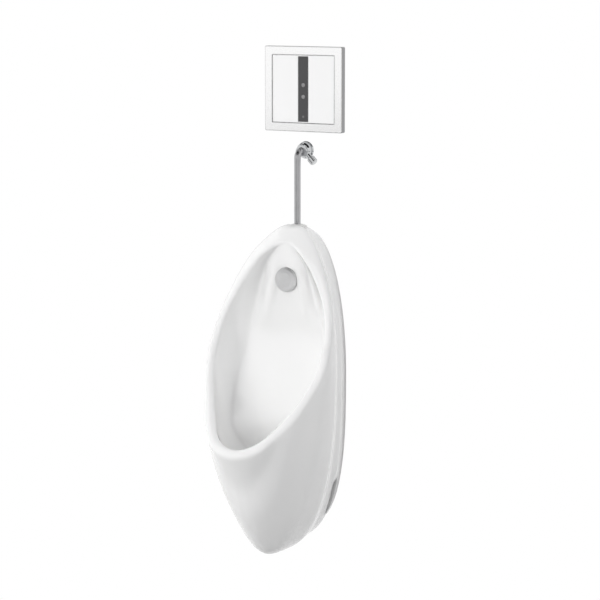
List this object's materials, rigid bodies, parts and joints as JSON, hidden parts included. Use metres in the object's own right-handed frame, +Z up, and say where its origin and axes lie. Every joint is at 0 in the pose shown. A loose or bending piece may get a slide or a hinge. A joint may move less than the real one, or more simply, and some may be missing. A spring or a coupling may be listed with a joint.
{
  "type": "wall hung urinal",
  "caption": "Wall hung ceramic urinal with rear hollow, spreader, strainer, bottle trap, stop valve and a concealed sensor flush valve behind a square plate.",
  "frame": {"origin": "centre of the waste outlet pipe at the wall face", "axes": "+Z up, +Y into the wall, -Y towards the user, +X to the right of someone facing the urinal"},
  "size_m": [0.2699, 0.3751, 0.9911],
  "materials": {
    "vitreous": "gloss",
    "chrome": "polished",
    "zinc_steel": "satin",
    "brass": "satin",
    "black_rubber": "matte",
    "white_plastic": "satin",
    "grey_plastic": "matte",
    "black_plastic": "matte",
    "panel_white": "gloss",
    "sensor_dark": "gloss",
    "lens": "gloss",
    "spring_steel": "satin",
    "cell_wrap": "gloss"
  },
  "bodies": {
    "fixture": {"bowl": "vitreous", "hanger_brackets": "zinc_steel", "hanger_screws": "zinc_steel", "wall_plugs": "grey_plastic", "lug_bolts": "zinc_steel", "lug_washers": "zinc_steel", "lug_nuts": "zinc_steel", "waste_flange": "chrome", "waste_seal": "black_rubber", "back_nut_seal": "black_rubber", "back_nut": "brass", "trap_body": "white_plastic", "trap_nut": "white_plastic", "trap_seal": "black_rubber", "trap_cup": "white_plastic", "cup_seal": "black_rubber", "outlet_pipe": "white_plastic", "outlet_nut": "white_plastic", "outlet_seal": "black_rubber", "spreader": "chrome", "spreader_gasket": "black_rubber", "spreader_nut": "brass", "spreader_elbow": "brass", "tube_olive": "brass", "tube_nut": "chrome", "inlet_seal": "white_plastic", "flush_tube": "chrome", "stop_body": "chrome", "stop_nut": "chrome", "wall_rosette": "chrome", "mounting_frame": "grey_plastic", "sensor_module": "black_plastic", "frame_screws": "zinc_steel", "wall_box": "grey_plastic", "valve_body": "brass", "valve_cover": "brass", "plunger_guide": "zinc_steel", "solenoid_coil": "black_plastic", "plunger_spring": "spring_steel", "inlet_filter": "zinc_steel", "box_nuts": "brass", "feed_pipe": "brass", "battery_case": "black_plastic", "battery_cells": "cell_wrap"},
    "cover": {"plate_frame": "chrome", "plate_panel": "panel_white", "sensor_window": "sensor_dark", "sensor_lenses": "lens"},
    "stop_handle": {"stop_spindle": "brass", "stop_knob": "chrome"},
    "isolator": {"isolator_ball": "chrome", "isolator_stem": "brass"},
    "pilot": {"solenoid_plunger": "zinc_steel"},
    "servo_piston": {"valve_piston": "white_plastic"},
    "drain_strainer": {"strainer": "chrome"}
  },
  "joints": [
    {"name": "plate_pull", "type": "slide", "parent": "fixture", "child": "cover", "axis": [0, -1, 0], "range_m": [0, 0.02]},
    {"name": "stop_turn", "type": "hinge", "parent": "fixture", "child": "stop_handle", "pos_m": [0, -0.00825, 0.696], "axis": [0.7071, 0, -0.7071], "range_deg": [0, 90]},
    {"name": "isolator_turn", "type": "hinge", "parent": "fixture", "child": "isolator", "pos_m": [0.037, 0.05, 0.772], "axis": [0, -1, 0], "range_deg": [0, 90]},
    {"name": "pilot_lift", "type": "slide", "parent": "fixture", "child": "pilot", "axis": [0, 0, 1], "range_m": [0, 0.003], "stiffness_N_per_m": 150, "springref_m": -0.002, "deforming": ["plunger_spring"]},
    {"name": "piston_lift", "type": "slide", "parent": "fixture", "child": "servo_piston", "axis": [0, 0, 1], "range_m": [0, 0.004]},
    {"name": "strainer_lift", "type": "slide", "parent": "fixture", "child": "drain_strainer", "axis": [0, 0, 1], "range_m": [0, 0.06]}
  ],
  "couplings": [
    {"joint": "piston_lift", "follows": "pilot_lift", "ratio": 1.3333}
  ]
}
